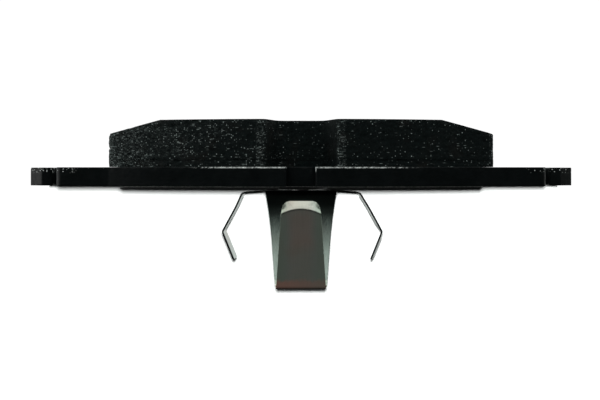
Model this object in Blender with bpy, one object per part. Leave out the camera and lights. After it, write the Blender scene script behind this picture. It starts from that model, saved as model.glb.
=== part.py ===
"""Disc brake pad: backing plate, moulded lining, bonded noise shim and riveted piston clip.

Frame, in metres: +Z points out of the friction face, +X runs along the pad, and -Y points from the
disc's centre to its rim. The origin is where the piston's axis meets the friction face.

Outlines are written as (x, v) in millimetres, where v = -Y grows towards the disc's rim.
The clip's legs are written as (u, z), where u is the distance outwards from the piston's axis.
"""

import math

import bmesh
import bpy
from mathutils import Matrix, Vector

MM = 0.001

# Driving sizes, in millimetres.
FLAT_GAP = 0.05  # clearance between two layers that lie on each other
PLATE_THICK = 5.15
UNDERLAYER_THICK = 2.0
LINING_THICK = 12.6  # friction compound and underlayer together
PAD_LENGTH = 155.8  # over the ears
DISC_AXIS_V = -118.0  # the disc's centre, seen from the piston's axis
PLATE_OUTER_R = 149.0
PLATE_INNER_R = 93.0
LINING_OUTER_R = 148.0
LINING_INNER_R = 94.5

# The plate's outline.
EAR_TIP_X = PAD_LENGTH / 2
EAR_HOOK_X = 70.7  # inner face of the hammerhead
EAR_TOP_V = 7.0
EAR_FOOT_V = -13.0
EAR_CHAMFER_X = 4.2
EAR_CHAMFER_V = 3.4
SLOT_FLOOR_V = 0.0  # floor of the slot between shoulder and hammerhead
NECK_FOOT_V = -9.0
SHOULDER_X = 66.5
SHOULDER_V = 20.6
ARC_END_X = 52.0  # where the rim-side arc runs into the flat shoulder
FLANK_X = 64.0
FLANK_V = -15.5
PLATE_CORNER_X = 42.0
PLATE_NOTCH_HALF = 3.75
PLATE_NOTCH_V = 25.0

# The lining's outline.
LINING_TOP_X = 52.4
LINING_FOOT_X = 40.0
WINDOW_MOUTH_HALF = 9.35
WINDOW_FLOOR_HALF = 6.0
WINDOW_FLOOR_V = 20.4
CHAMFER_START_X = 37.4
CHAMFER_DROP = 3.7

# Holes in which the underlayer locks the lining to the plate: (x, v).
LOCK_HOLES = [(-36.0, 8.0), (36.0, 8.0), (-29.0, -16.0), (29.0, -16.0)]
LOCK_HOLE_R = 4.6
LOCK_PLUG_R = 4.45
LOCK_PLUG_SHORT = 0.4  # how far a plug ends inside the plate's back face

# The shim's layers, from the plate outwards.
SHIM_OUTER_R = 147.5
SHIM_INNER_R = 95.5
SHIM_TOP_X = 49.2
SHIM_FOOT_X = 38.0
SHIM_NOTCH_HALF = 5.9
SHIM_NOTCH_V = 22.5
ADHESIVE_THICK = 0.12
SHIM_CORE_THICK = 0.35
SHIM_FACING_THICK = 0.20
PISTON_LAND_V = -12.0  # below this line the facing is one clear land for the piston's rim

# Two shoulder rivets hold the clip.
RIVET_V = 4.8
RIVET_HEAD_R = 4.0
RIVET_HEAD_DEEP = 1.8
RIVET_SHANK_R = 2.7
RIVET_TENON_R = 1.8
RIVET_DOME_R = 3.2
RIVET_DOME_HIGH = 1.2
RIVET_CLEAR = 0.15  # radial clearance in every hole
ROUND_STEPS = 24

# The clip, cut and bent from one sheet of spring steel.
CLIP_THICK = 0.5
HUB_Z = -19.4  # middle of the hub's sheet
HUB_HALF = 10.2
HUB_FOOT_HALF = 7.5
HUB_FOOT_V = -10.0
WING_SLOPE = 0.072
ARM_HALF_WIDTH = 4.75
ARM_HINGE_U = 15.9
ARM_CORNER_U = 16.85
ARM_KNEE = (22.9, -31.0)
ARM_TIP = (19.65, -39.0)
LEG_HINGE_U = 9.0
LEG_CORNER_U = 10.6
FOLD_U = (16.6, 18.8)
FOLD_Z = -45.6
FOLD_HINGE_Z = -43.75
TONGUE_KNEE = (22.8, -24.45)
TONGUE_TIP = (21.7, -21.75)
LEG_HALF_TOP = 9.37
FOLD_HALF = 7.3
TONGUE_HALF_FOOT = 7.05
TONGUE_HALF_TOP = 5.2
CLIP_SPLIT = 0.1  # gap at a flexing line
CORNER_STEPS = 4

PLATE_TOP_Z = -LINING_THICK
PLATE_BACK_Z = PLATE_TOP_Z - PLATE_THICK


def clear_scene():
    for old in list(bpy.data.objects):
        bpy.data.objects.remove(old)


def make_material(name, colour, roughness, metallic):
    material = bpy.data.materials.new(name)
    material.use_nodes = True
    shader = material.node_tree.nodes["Principled BSDF"]
    shader.inputs["Base Color"].default_value = (*colour, 1.0)
    shader.inputs["Roughness"].default_value = roughness
    shader.inputs["Metallic"].default_value = metallic
    return material


def add_object(name, mesh_data, material, sharp_angle=35.0):
    """A scene object for a finished bmesh, whose points are in metres."""
    bmesh.ops.recalc_face_normals(mesh_data, faces=mesh_data.faces)
    mesh = bpy.data.meshes.new(name)
    mesh_data.to_mesh(mesh)
    mesh_data.free()
    mesh.shade_smooth()
    mesh.set_sharp_from_angle(angle=math.radians(sharp_angle))
    if material is not None:
        mesh.materials.append(material)
    obj = bpy.data.objects.new(name, mesh)
    bpy.context.scene.collection.objects.link(obj)
    return obj


def rounded(corners, steps=CORNER_STEPS):
    """The closed or open run of corners (a, b, radius), with an arc in place of each that has a radius."""
    points = []
    count = len(corners)
    for index, (a, b, radius) in enumerate(corners):
        here = Vector((a, b))
        if radius == 0:
            points.append(here)
            continue
        before = (Vector(corners[index - 1][:2]) - here).normalized()
        after = (Vector(corners[(index + 1) % count][:2]) - here).normalized()
        half_angle = before.angle(after) / 2
        start = here + before * radius / math.tan(half_angle)
        end = here + after * radius / math.tan(half_angle)
        centre = here + (before + after).normalized() * radius / math.sin(half_angle)
        turn = (start - centre).angle_signed(end - centre)
        for step in range(steps + 1):
            spoke = (start - centre).copy()
            spoke.rotate(Matrix.Rotation(-turn * step / steps, 2))
            points.append(centre + spoke)
    return points


def disc_arc(radius, x_from, x_to, steps):
    """Sharp corners along a circle round the disc's centre, both ends included."""
    corners = []
    for step in range(steps + 1):
        x = x_from + (x_to - x_from) * step / steps
        corners.append((x, arc_v(radius, x), 0))
    return corners


def arc_v(radius, x):
    return DISC_AXIS_V + math.sqrt(radius**2 - x**2)


def mirrored(half):
    """A closed outline from its +X half, which runs from the rim side to the foot."""
    return half + [(-x, v, radius) for x, v, radius in reversed(half) if x > 0]


def prism(outline, z_low, z_high):
    """A bmesh slab of an (x, v) outline between two heights, all in millimetres."""
    slab = bmesh.new()
    floor = slab.faces.new([slab.verts.new((p.x * MM, -p.y * MM, z_low * MM)) for p in outline])
    made = bmesh.ops.extrude_face_region(slab, geom=[floor])
    risen = [item for item in made["geom"] if isinstance(item, bmesh.types.BMVert)]
    bmesh.ops.translate(slab, verts=risen, vec=(0, 0, (z_high - z_low) * MM))
    return slab


def split_along(slab, point, normal):
    """Adds an edge wherever the plane crosses a face, and removes nothing."""
    everything = slab.verts[:] + slab.edges[:] + slab.faces[:]
    bmesh.ops.bisect_plane(slab, geom=everything, plane_co=point, plane_no=normal, dist=0.001 * MM)


def cylinder(name, x, v, radius, z_low, z_high):
    """A helper for a Boolean, left out of the build."""
    round_bar = bmesh.new()
    middle = Matrix.Translation((x * MM, -v * MM, (z_low + z_high) / 2 * MM))
    bmesh.ops.create_cone(
        round_bar, cap_ends=True, segments=ROUND_STEPS, radius1=radius * MM, radius2=radius * MM,
        depth=(z_high - z_low) * MM, matrix=middle,
    )
    helper = add_object(name, round_bar, None)
    helper.hide_render = True
    helper.display_type = "WIRE"
    return helper


def combine(obj, helper, operation):
    modifier = obj.modifiers.new(helper.name, "BOOLEAN")
    modifier.operation = operation
    modifier.object = helper


def cut_rivet_holes(obj, radius, z_low, z_high):
    for side, v in (("rim", RIVET_V), ("foot", -RIVET_V)):
        helper = cylinder(f"{obj.name}_{side}_hole", 0, v, radius, z_low, z_high)
        combine(obj, helper, "DIFFERENCE")


def turned(profile):
    """A bmesh solid of revolution about Z from (radius, z) corners in millimetres, both ends on the axis."""
    body = bmesh.new()
    verts = [body.verts.new((radius * MM, 0, z * MM)) for radius, z in profile]
    edges = [body.edges.new(pair) for pair in zip(verts, verts[1:])]
    bmesh.ops.spin(
        body, geom=verts + edges, cent=(0, 0, 0), axis=(0, 0, 1), angle=2 * math.pi,
        steps=ROUND_STEPS, use_merge=True,
    )
    bmesh.ops.remove_doubles(body, verts=body.verts, dist=0.001 * MM)
    return body


def sheet_strip(path, half_width):
    """A bmesh of bent sheet: path holds (u, z) points of its middle, half_width(share) its half width.

    The sheet is built with u along +X and its width along Y, about the path's first point.
    """
    lengths = [0.0]
    for start, end in zip(path, path[1:]):
        lengths.append(lengths[-1] + (end - start).length)
    strip = bmesh.new()
    rings = []
    for index, point in enumerate(path):
        before = path[max(index - 1, 0)]
        after = path[min(index + 1, len(path) - 1)]
        along = (after - before).normalized()
        across = Vector((-along.y, along.x)) * CLIP_THICK / 2
        half = half_width(lengths[index] / lengths[-1])
        offset = point - path[0]
        ring = []
        for side, face in ((-1, -1), (1, -1), (1, 1), (-1, 1)):
            at = offset + across * face
            ring.append(strip.verts.new((at.x * MM, side * half * MM, at.y * MM)))
        rings.append(ring)
    for near, far in zip(rings, rings[1:]):
        for corner in range(4):
            following = (corner + 1) % 4
            strip.faces.new((near[corner], near[following], far[following], far[corner]))
    strip.faces.new(rings[0])
    strip.faces.new(reversed(rings[-1]))
    return strip


def place_strip(name, path, half_width, material, turn, parent=None):
    """A strip whose origin is on its flexing line, turned about the piston's axis by turn."""
    obj = add_object(name, sheet_strip(path, half_width), material)
    start = path[0]
    obj.location = (start.x * math.cos(turn) * MM, start.x * math.sin(turn) * MM, start.y * MM)
    obj.rotation_euler = (0, 0, turn)
    if parent is not None:
        bpy.context.view_layer.update()
        obj.parent = parent
        obj.matrix_parent_inverse = parent.matrix_world.inverted()
    return obj


def plate_outline():
    half = [(0, PLATE_NOTCH_V, 0), (PLATE_NOTCH_HALF, PLATE_NOTCH_V, 2.4)]
    half += disc_arc(PLATE_OUTER_R, PLATE_NOTCH_HALF, ARC_END_X, 7)
    half += [
        (SHOULDER_X, SHOULDER_V, 2.0),
        (SHOULDER_X, SLOT_FLOOR_V, 1.4),
        (EAR_HOOK_X, SLOT_FLOOR_V, 1.4),
        (EAR_HOOK_X, EAR_TOP_V, 0.7),
        (EAR_TIP_X - EAR_CHAMFER_X, EAR_TOP_V, 0),
        (EAR_TIP_X, EAR_TOP_V - EAR_CHAMFER_V, 0),
        (EAR_TIP_X, EAR_FOOT_V + 2.0, 0),
        (EAR_TIP_X - 2.0, EAR_FOOT_V, 0),
        (EAR_HOOK_X, EAR_FOOT_V, 0.7),
        (EAR_HOOK_X, NECK_FOOT_V, 1.2),
        (SHOULDER_X, NECK_FOOT_V, 1.2),
        (FLANK_X, FLANK_V, 3.0),
        (PLATE_CORNER_X, arc_v(PLATE_INNER_R, PLATE_CORNER_X) - 0.4, 3.5),
    ]
    half += disc_arc(PLATE_INNER_R, 34.0, 0, 6)
    return rounded(mirrored(half))


def lining_outline():
    half = [
        (WINDOW_FLOOR_HALF, WINDOW_FLOOR_V, 3.0),
        (WINDOW_MOUTH_HALF, arc_v(LINING_OUTER_R, WINDOW_MOUTH_HALF), 2.0),
    ]
    half += disc_arc(LINING_OUTER_R, 14.0, 46.0, 5)
    half += [
        (LINING_TOP_X, arc_v(LINING_OUTER_R, LINING_TOP_X), 1.2),
        (LINING_FOOT_X, arc_v(LINING_INNER_R, LINING_FOOT_X), 2.5),
    ]
    half += disc_arc(LINING_INNER_R, 33.0, 0, 5)
    return rounded(mirrored(half))


def shim_outline():
    half = [
        (SHIM_NOTCH_HALF, SHIM_NOTCH_V, 2.5),
        (SHIM_NOTCH_HALF, arc_v(SHIM_OUTER_R, SHIM_NOTCH_HALF), 1.5),
    ]
    half += disc_arc(SHIM_OUTER_R, 12.0, 44.0, 5)
    half += [
        (SHIM_TOP_X, arc_v(SHIM_OUTER_R, SHIM_TOP_X), 1.5),
        (SHIM_FOOT_X, arc_v(SHIM_INNER_R, SHIM_FOOT_X), 2.5),
    ]
    half += disc_arc(SHIM_INNER_R, 31.0, 0, 5)
    return rounded(mirrored(half))


def hub_outline():
    half = [
        (HUB_HALF, LEG_HINGE_U, 0),
        (HUB_HALF, ARM_HALF_WIDTH, 2.6),
        (ARM_HINGE_U, ARM_HALF_WIDTH, 0),
        (ARM_HINGE_U, -ARM_HALF_WIDTH, 0),
        (HUB_FOOT_HALF + 1.0, -ARM_HALF_WIDTH, 2.0),
        (HUB_FOOT_HALF, HUB_FOOT_V, 2.5),
    ]
    return rounded(mirrored(half))


def make_backing_plate(material):
    plate = add_object("backing_plate", prism(plate_outline(), PLATE_BACK_Z, PLATE_TOP_Z), material)
    past = 1.0
    for number, (x, v) in enumerate(LOCK_HOLES, 1):
        hole = cylinder(f"lock_hole_{number}", x, v, LOCK_HOLE_R, PLATE_BACK_Z - past, PLATE_TOP_Z + past)
        combine(plate, hole, "DIFFERENCE")
    cut_rivet_holes(plate, RIVET_SHANK_R + RIVET_CLEAR, PLATE_BACK_Z - past, PLATE_TOP_Z + past)
    for side, v in (("rim", RIVET_V), ("foot", -RIVET_V)):
        seat_floor = PLATE_TOP_Z - RIVET_HEAD_DEEP - 2 * FLAT_GAP
        seat = cylinder(f"rivet_seat_{side}", 0, v, RIVET_HEAD_R + RIVET_CLEAR, seat_floor, PLATE_TOP_Z + past)
        combine(plate, seat, "DIFFERENCE")


def make_underlayer(material):
    top = PLATE_TOP_Z + UNDERLAYER_THICK
    layer = add_object("underlayer", prism(lining_outline(), PLATE_TOP_Z + FLAT_GAP, top), material)
    for number, (x, v) in enumerate(LOCK_HOLES, 1):
        foot = PLATE_BACK_Z + LOCK_PLUG_SHORT
        plug = cylinder(f"lock_plug_{number}", x, v, LOCK_PLUG_R, foot, top - UNDERLAYER_THICK / 2)
        combine(layer, plug, "UNION")


def make_friction_block(material):
    bottom = PLATE_TOP_Z + UNDERLAYER_THICK + FLAT_GAP
    block = prism(lining_outline(), bottom, 0)
    for side in (-1, 1):
        ramp = Vector((LINING_TOP_X - CHAMFER_START_X, 0, -CHAMFER_DROP))
        normal = Vector((-ramp.z * side, 0, ramp.x))
        everything = block.verts[:] + block.edges[:] + block.faces[:]
        start = Vector((side * CHAMFER_START_X * MM, 0, 0))
        bmesh.ops.bisect_plane(block, geom=everything, plane_co=start, plane_no=normal, clear_outer=True)
        rim = [edge for edge in block.edges if edge.is_boundary]
        bmesh.ops.edgeloop_fill(block, edges=rim)
    add_object("friction_block", block, material, sharp_angle=10.0)


def make_shim(adhesive, steel, rubber):
    """Three layers, from the plate's back face outwards."""
    z_high = PLATE_BACK_Z
    for name, thick, material in (
        ("shim_adhesive_film", ADHESIVE_THICK, adhesive),
        ("shim_steel_core", SHIM_CORE_THICK, steel),
        ("shim_rubber_facing", SHIM_FACING_THICK, rubber),
    ):
        z_high -= FLAT_GAP
        slab = prism(shim_outline(), z_high - thick, z_high)
        split_along(slab, Vector((0, -PISTON_LAND_V * MM, 0)), Vector((0, 1, 0)))
        layer = add_object(name, slab, material)
        cut_rivet_holes(layer, RIVET_SHANK_R + 2 * RIVET_CLEAR, z_high - thick - 1, z_high + 1)
        z_high -= thick


def make_rivets(material):
    """Head sunk in the plate, shank through plate and shim to the shoulder, tenon through the hub, closed head."""
    head_top = PLATE_TOP_Z - FLAT_GAP
    head_foot = head_top - RIVET_HEAD_DEEP
    shoulder = HUB_Z + CLIP_THICK / 2 + FLAT_GAP
    closed_top = HUB_Z - CLIP_THICK / 2 - FLAT_GAP
    profile = [
        (0, head_top),
        (RIVET_HEAD_R, head_top),
        (RIVET_HEAD_R, head_foot),
        (RIVET_SHANK_R, head_foot),
        (RIVET_SHANK_R, shoulder),
        (RIVET_TENON_R, shoulder),
        (RIVET_TENON_R, closed_top),
        (RIVET_DOME_R, closed_top),
    ]
    for step in range(1, 5):
        angle = step * math.pi / 8
        profile.append((RIVET_DOME_R * math.cos(angle), closed_top - RIVET_DOME_HIGH * math.sin(angle)))
    profile[-1] = (0, closed_top - RIVET_DOME_HIGH)
    for name, v in (("rivet_rim_side", RIVET_V), ("rivet_foot_side", -RIVET_V)):
        rivet = add_object(name, turned(profile), material)
        rivet.location.y = -v * MM


def make_hub(material):
    slab = prism(hub_outline(), HUB_Z - CLIP_THICK / 2, HUB_Z + CLIP_THICK / 2)
    for side in (-1, 1):
        split_along(slab, Vector((side * HUB_HALF * MM, 0, 0)), Vector((1, 0, 0)))
    for vert in slab.verts:
        vert.co.z -= max(abs(vert.co.x) - HUB_HALF * MM, 0) * WING_SLOPE
    hub = add_object("clip_hub", slab, material, sharp_angle=20.0)
    cut_rivet_holes(hub, RIVET_TENON_R + RIVET_CLEAR, HUB_Z - 1, HUB_Z + 1)


def wing_z(u):
    return HUB_Z - (u - HUB_HALF) * WING_SLOPE


def make_arms(material):
    start = ARM_HINGE_U + CLIP_SPLIT
    path = rounded([
        (start, wing_z(start), 0),
        (ARM_CORNER_U, wing_z(ARM_CORNER_U), 1.2),
        (*ARM_KNEE, 0.9),
        (*ARM_TIP, 0),
    ])
    for name, turn in (("clip_arm_right", 0.0), ("clip_arm_left", math.pi)):
        place_strip(name, path, lambda share: ARM_HALF_WIDTH, material, turn)


def make_centre_leg(material):
    """The leg that hangs from the hub's rim side, and the tongue folded back up from its foot."""
    towards_rim = -math.pi / 2
    start = LEG_HINGE_U + CLIP_SPLIT
    fold_start = leg_u(FOLD_HINGE_Z + CLIP_SPLIT)
    leg_path = rounded([(start, HUB_Z, 0), (LEG_CORNER_U, HUB_Z, 1.4), (fold_start, FOLD_HINGE_Z + CLIP_SPLIT, 0)])
    leg = place_strip("clip_centre_leg", leg_path, leg_half_width, material, towards_rim)
    tongue_path = rounded([
        (leg_u(FOLD_HINGE_Z), FOLD_HINGE_Z, 0),
        (FOLD_U[0], FOLD_Z, 1.05),
        (FOLD_U[1], FOLD_Z, 1.05),
        (*TONGUE_KNEE, 2.5),
        (*TONGUE_TIP, 0),
    ])
    place_strip("clip_tongue", tongue_path, tongue_half_width, material, towards_rim, parent=leg)


def leg_u(z):
    """Where the leg's middle is at a height between its corner and the fold."""
    share = (z - HUB_Z) / (FOLD_Z - HUB_Z)
    return LEG_CORNER_U + (FOLD_U[0] - LEG_CORNER_U) * share


def leg_half_width(share):
    """Hub width at the root, then a long flare into the leg's own taper."""
    flare = max(0.0, 1 - share / 0.6)
    return min(HUB_HALF, LEG_HALF_TOP + (FOLD_HALF - LEG_HALF_TOP) * share + 0.95 * flare**2)


def tongue_half_width(share):
    """A taper up to a tip with round corners."""
    half = TONGUE_HALF_FOOT + (TONGUE_HALF_TOP - TONGUE_HALF_FOOT) * share
    half += (FOLD_HALF - TONGUE_HALF_FOOT) * max(0.0, 1 - share / 0.1)
    tip = max(0.0, (share - 0.9) / 0.1)
    return half - 1.6 * (1 - math.sqrt(1 - tip**2))


def main():
    clear_scene()
    black_coat = make_material("black_coat", (0.012, 0.013, 0.013), 0.45, 0.0)
    compound = make_material("friction_compound", (0.016, 0.017, 0.017), 0.75, 0.0)
    bond = make_material("bonding_compound", (0.020, 0.021, 0.021), 0.8, 0.0)
    adhesive = make_material("adhesive", (0.35, 0.34, 0.30), 0.6, 0.0)
    shim_steel = make_material("shim_steel", (0.45, 0.46, 0.46), 0.35, 1.0)
    rubber = make_material("shim_rubber", (0.014, 0.014, 0.014), 0.65, 0.0)
    spring_steel = make_material("spring_steel", (0.42, 0.43, 0.41), 0.25, 1.0)
    rivet_steel = make_material("rivet_steel", (0.55, 0.56, 0.55), 0.3, 1.0)
    make_backing_plate(black_coat)
    make_underlayer(bond)
    make_friction_block(compound)
    make_shim(adhesive, shim_steel, rubber)
    make_rivets(rivet_steel)
    make_hub(spring_steel)
    make_arms(spring_steel)
    make_centre_leg(spring_steel)


main()
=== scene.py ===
import math

import bmesh
import bpy
import numpy as np
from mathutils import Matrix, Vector, geometry
from mathutils.kdtree import KDTree


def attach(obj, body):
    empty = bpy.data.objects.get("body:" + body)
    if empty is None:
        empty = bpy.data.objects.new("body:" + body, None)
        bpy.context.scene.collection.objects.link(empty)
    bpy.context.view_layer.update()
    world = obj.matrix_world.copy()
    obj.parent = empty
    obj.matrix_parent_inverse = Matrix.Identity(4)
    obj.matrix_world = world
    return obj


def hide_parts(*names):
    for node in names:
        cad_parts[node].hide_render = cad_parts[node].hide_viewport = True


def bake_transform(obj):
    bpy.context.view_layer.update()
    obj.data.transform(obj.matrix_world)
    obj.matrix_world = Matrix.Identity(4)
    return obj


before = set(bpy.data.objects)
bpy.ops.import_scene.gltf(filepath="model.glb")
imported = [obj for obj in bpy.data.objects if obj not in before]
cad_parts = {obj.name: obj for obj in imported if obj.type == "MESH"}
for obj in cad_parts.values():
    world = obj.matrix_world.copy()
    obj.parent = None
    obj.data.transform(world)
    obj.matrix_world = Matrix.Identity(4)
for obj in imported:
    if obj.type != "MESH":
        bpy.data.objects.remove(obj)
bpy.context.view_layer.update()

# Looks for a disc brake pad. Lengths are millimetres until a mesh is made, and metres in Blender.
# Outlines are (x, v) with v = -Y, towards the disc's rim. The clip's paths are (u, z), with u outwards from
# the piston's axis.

MM = 0.001

# Heights of the layers and outlines' driving sizes, as the frame has them. The friction face is at 0.
BOND_TOP_Z = -10.6
BOND_FOOT_Z = -12.55
PLATE_TOP_Z = -12.6
PLATE_BACK_Z = -17.75
HUB_Z = -19.4
SHEET = 0.5
CHAMFER_START_X = 37.4
CHAMFER_SLOPE = 3.7 / 15.0
LOCK_HOLES = [(-36.0, 8.0), (36.0, 8.0), (-29.0, -16.0), (29.0, -16.0)]
RIVETS_V = (4.8, -4.8)
EAR_TIP_X = 77.9
NECK_X = 70.7
SHOULDER_X = 66.5
DISC_CENTRE = 118.0
SHANK_HOLE, HEAD_SEAT, SHIM_HOLE, HUB_HOLE = 2.85, 4.15, 3.0, 1.95

# The clip.
HUB_HALF = 10.2
WING_END = 15.9
WING_FALL = 0.072
ARM_HALF = 4.75
LEG_ROOT_U = 10.6
FOLD_Z = -45.6
FOLD_HINGE_Z = -43.75
TOWARDS_RIM = -math.pi / 2

# The camera's place, in metres.
EYE_Y, EYE_Z = -0.281, -0.01419


# ---------------------------------------------------------------- noise and outlines

def noise(points, cell, seed):
    """Smooth noise from -1 to 1 at (n, 3) points in millimetres. cell is the size of its features."""
    scaled = points / np.asarray(cell, float) + seed * 17.31
    base = np.floor(scaled).astype(np.int64)
    part = scaled - base
    part = part * part * (3 - 2 * part)
    total = np.zeros(len(points))
    for step in np.ndindex(2, 2, 2):
        corner = base + step
        mixed = corner[:, 0] * 73856093 ^ corner[:, 1] * 19349663 ^ corner[:, 2] * 83492791
        mixed = (mixed ^ (mixed >> 13)) * 1274126177 & 0x7FFFFFFF
        value = ((mixed ^ (mixed >> 15)) & 0xFFFF) / 32767.5 - 1
        total += value * np.prod(np.abs(1 - np.array(step) - part), axis=1)
    return total


def smooth_step(low, high, values):
    share = np.clip((values - low) / (high - low), 0, 1)
    return share * share * (3 - 2 * share)


def arc_v(radius, x):
    """Height above the piston's axis of a circle round the disc's centre."""
    return math.sqrt(radius**2 - x**2) - DISC_CENTRE


def disc_arc(radius, x_from, x_to):
    """Corners along a circle round the disc's centre."""
    return [(x, arc_v(radius, x), 0) for x in np.linspace(x_from, x_to, 41).tolist()]


def mirrored(half):
    """A half outline and its mirror image across x = 0."""
    return half + [(-x, v, radius) for x, v, radius in reversed(half) if x > 0]


def rounded(corners, steps=10, closed=True):
    """Corners (a, b, radius) as points, with an arc in place of each that has a radius."""
    points, count = [], len(corners)
    for index, (a, b, radius) in enumerate(corners):
        here = Vector((a, b))
        if radius == 0 or (not closed and index in (0, count - 1)):
            points.append((a, b))
            continue
        before = (Vector(corners[index - 1][:2]) - here).normalized()
        after = (Vector(corners[(index + 1) % count][:2]) - here).normalized()
        half_angle = before.angle(after) / 2
        centre = here + (before + after).normalized() * radius / math.sin(half_angle)
        start = here + before * radius / math.tan(half_angle) - centre
        end = here + after * radius / math.tan(half_angle) - centre
        turn = math.atan2(start.x * end.y - start.y * end.x, start.dot(end))
        for step in range(steps + 1):
            angle = turn * step / steps
            points.append((centre.x + start.x * math.cos(angle) - start.y * math.sin(angle),
                           centre.y + start.x * math.sin(angle) + start.y * math.cos(angle)))
    return points


def even(points, spacing, closed=True):
    """The same run of points at an even spacing."""
    run = np.array(points + points[:1] if closed else points, float)
    lengths = np.concatenate([[0], np.cumsum(np.hypot(*np.diff(run, axis=0).T))])
    keep = np.concatenate([[True], np.diff(lengths) > 1e-9])
    run, lengths = run[keep], lengths[keep]
    count = max(int(round(lengths[-1] / spacing)), 3)
    at = np.linspace(0, lengths[-1], count + 1)
    if closed:
        at = at[:-1]
    return np.stack([np.interp(at, lengths, run[:, k]) for k in (0, 1)], axis=1)


def outward(loop):
    """Outward normals of an even closed loop."""
    along = np.roll(loop, -1, axis=0) - np.roll(loop, 1, axis=0)
    normal = np.stack([along[:, 1], -along[:, 0]], axis=1)
    normal /= np.hypot(*normal.T)[:, None]
    area = np.sum(loop[:, 0] * np.roll(loop[:, 1], -1) - loop[:, 1] * np.roll(loop[:, 0], -1))
    return normal if area > 0 else -normal


def circle(x, v, radius, count=64):
    angles = np.arange(count) * 2 * math.pi / count
    return np.stack([x + radius * np.cos(angles), v + radius * np.sin(angles)], axis=1)


def plate_outline():
    half = [(0, 25.0, 0), (3.75, 25.0, 2.4), (3.75, arc_v(149.0, 3.75), 0.35)]
    half += disc_arc(149.0, 4.6, 52.0)
    half += [
        (SHOULDER_X, 20.6, 2.0), (SHOULDER_X, 0, 1.4), (NECK_X, 0, 1.4), (NECK_X, 7.0, 0.7),
        (EAR_TIP_X - 4.2, 7.0, 0.6), (EAR_TIP_X, 3.6, 0.6), (EAR_TIP_X, -11.0, 0.5),
        (EAR_TIP_X - 2.0, -13.0, 0.5), (NECK_X, -13.0, 0.7), (NECK_X, -9.0, 1.2), (SHOULDER_X, -9.0, 1.2),
        (64.0, -15.5, 3.0), (42.0, arc_v(93.0, 42.0) - 0.4, 3.5),
    ]
    half += disc_arc(93.0, 34.0, 0)
    return rounded(mirrored(half))


def lining_outline():
    half = [(6.0, 20.4, 3.0), (9.35, arc_v(148.0, 9.35), 2.0)]
    half += disc_arc(148.0, 14.0, 46.0)
    half += [(52.4, arc_v(148.0, 52.4), 1.2), (40.0, arc_v(94.5, 40.0), 2.5)]
    half += disc_arc(94.5, 33.0, 0)
    return rounded(mirrored(half))


def shim_outline():
    half = [(5.9, 22.5, 2.5), (5.9, arc_v(147.5, 5.9), 1.5)]
    half += disc_arc(147.5, 12.0, 44.0)
    half += [(49.2, arc_v(147.5, 49.2), 1.5), (38.0, arc_v(95.5, 38.0), 2.5)]
    half += disc_arc(95.5, 31.0, 0)
    return rounded(mirrored(half))


# ---------------------------------------------------------------- mesh building

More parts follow.
